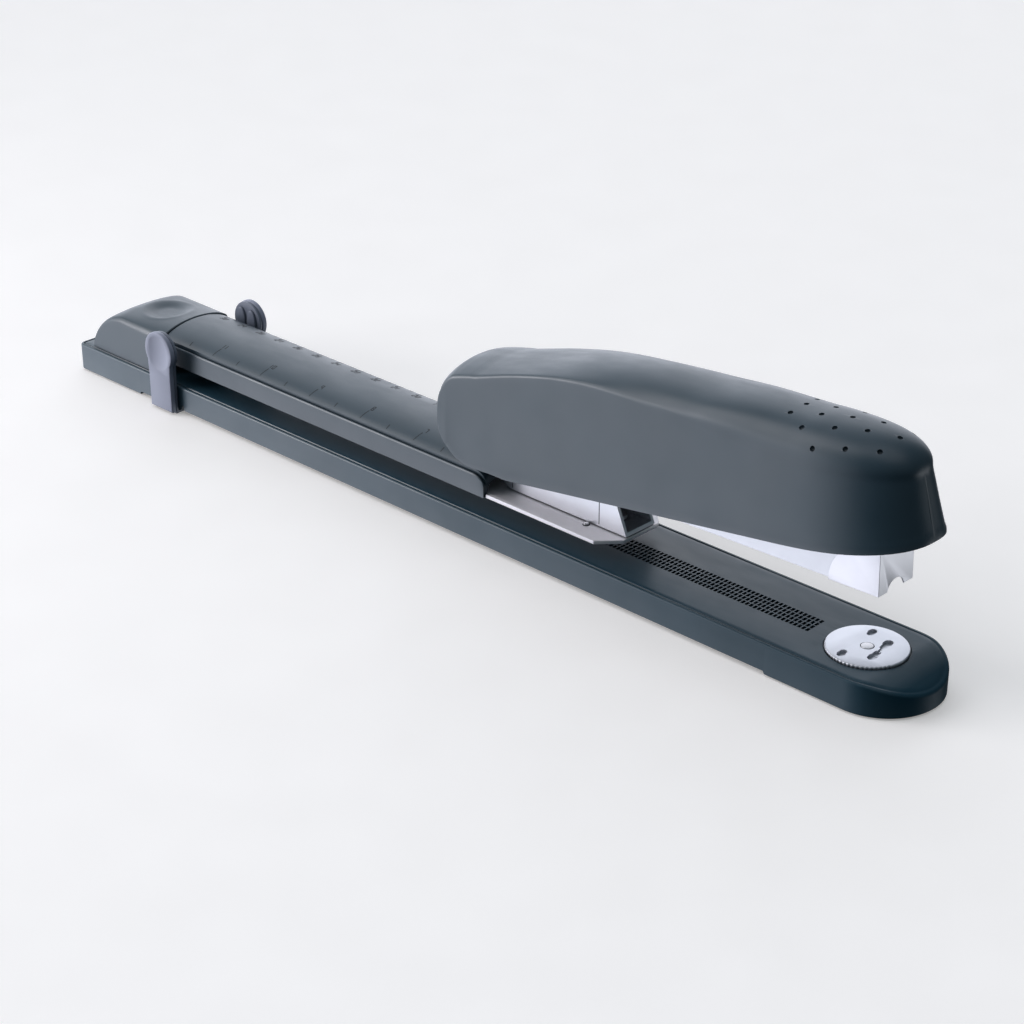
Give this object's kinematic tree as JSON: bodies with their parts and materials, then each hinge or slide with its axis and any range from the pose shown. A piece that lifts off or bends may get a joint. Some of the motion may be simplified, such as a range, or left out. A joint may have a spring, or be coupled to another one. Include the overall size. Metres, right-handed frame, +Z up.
{
  "type": "long reach stapler",
  "caption": "Desk stapler with a long fixed arm and ruler cover, a hinged stapling head at the front, a turnable anvil and a sliding paper guide.",
  "frame": {"origin": "on the table plane, on the mid-plane, under the staple line at the front of the base", "axes": "+X along the base from the rear housing towards the stapling head's nose, +Y across the base, +Z up"},
  "size_m": [0.3715, 0.0448, 0.0797],
  "materials": {
    "black_plastic": "fine satin moulded texture, blue-black",
    "inner_plastic": "matte moulded, near black",
    "grey_plastic": "satin moulded, lilac grey",
    "rubber": "matte black",
    "zinc_steel": "zinc plated sheet",
    "bright_steel": "bright nickel plated",
    "spring_steel": "drawn spring wire"
  },
  "bodies": {
    "frame": {"base_shell": "black_plastic", "base_stiffener": "zinc_steel", "front_foot_pad": "rubber", "rear_foot_pad": "rubber", "anvil_spring": "spring_steel", "rear_housing": "black_plastic", "rear_block": "inner_plastic", "rear_screw_near": "bright_steel", "rear_screw_far": "bright_steel", "arm_plate": "bright_steel", "arm_stiffener": "zinc_steel", "arm_cover": "black_plastic", "pivot_bracket": "zinc_steel", "bracket_rivet_front": "bright_steel", "bracket_rivet_rear": "bright_steel", "pivot_pin": "bright_steel", "pin_clip": "spring_steel", "lift_spring": "spring_steel"},
    "anvil_carrier": {"anvil_button": "inner_plastic"},
    "anvil": {"anvil_disc": "zinc_steel", "anvil_rivet": "bright_steel"},
    "paper_guide": {"guide_carriage": "inner_plastic", "guide_clip_near": "grey_plastic", "guide_clip_far": "grey_plastic"},
    "magazine": {"magazine_channel": "zinc_steel", "magazine_front_cap": "bright_steel", "staple_rail": "zinc_steel", "follower_rod": "spring_steel", "follower_spring": "spring_steel", "handle_spring": "spring_steel"},
    "follower": {"staple_follower": "inner_plastic"},
    "handle": {"handle_frame": "zinc_steel", "driver_blade": "bright_steel", "handle_cover": "black_plastic"}
  },
  "joints": [
    {"name": "magazine_pivot", "type": "hinge", "parent": "frame", "child": "magazine", "pos_m": [-0.139, 0, 0.046], "axis": [0, 1, 0], "range_deg": [0, 8], "stiffness_Nm_per_rad": 0.5, "deforming": ["lift_spring"]},
    {"name": "handle_pivot", "type": "hinge", "parent": "magazine", "child": "handle", "pos_m": [-0.139, 0, 0.046], "axis": [0, 1, 0], "range_deg": [-45, 5.6], "deforming": ["handle_spring"]},
    {"name": "follower_slide", "type": "slide", "parent": "magazine", "child": "follower", "axis": [0.9995, 0, 0.0323], "range_m": [-0.06, 0], "deforming": ["follower_spring"]},
    {"name": "anvil_lift", "type": "slide", "parent": "frame", "child": "anvil_carrier", "axis": [0, 0, 1], "range_m": [0, 0.002], "deforming": ["anvil_spring"]},
    {"name": "anvil_turn", "type": "hinge", "parent": "anvil_carrier", "child": "anvil", "pos_m": [-0.005, 0, 0.0099], "axis": [0, 0, 1], "range_deg": [0, 180]},
    {"name": "guide_slide", "type": "slide", "parent": "frame", "child": "paper_guide", "axis": [1, 0, 0], "range_m": [-0.006, 0.126]}
  ]
}
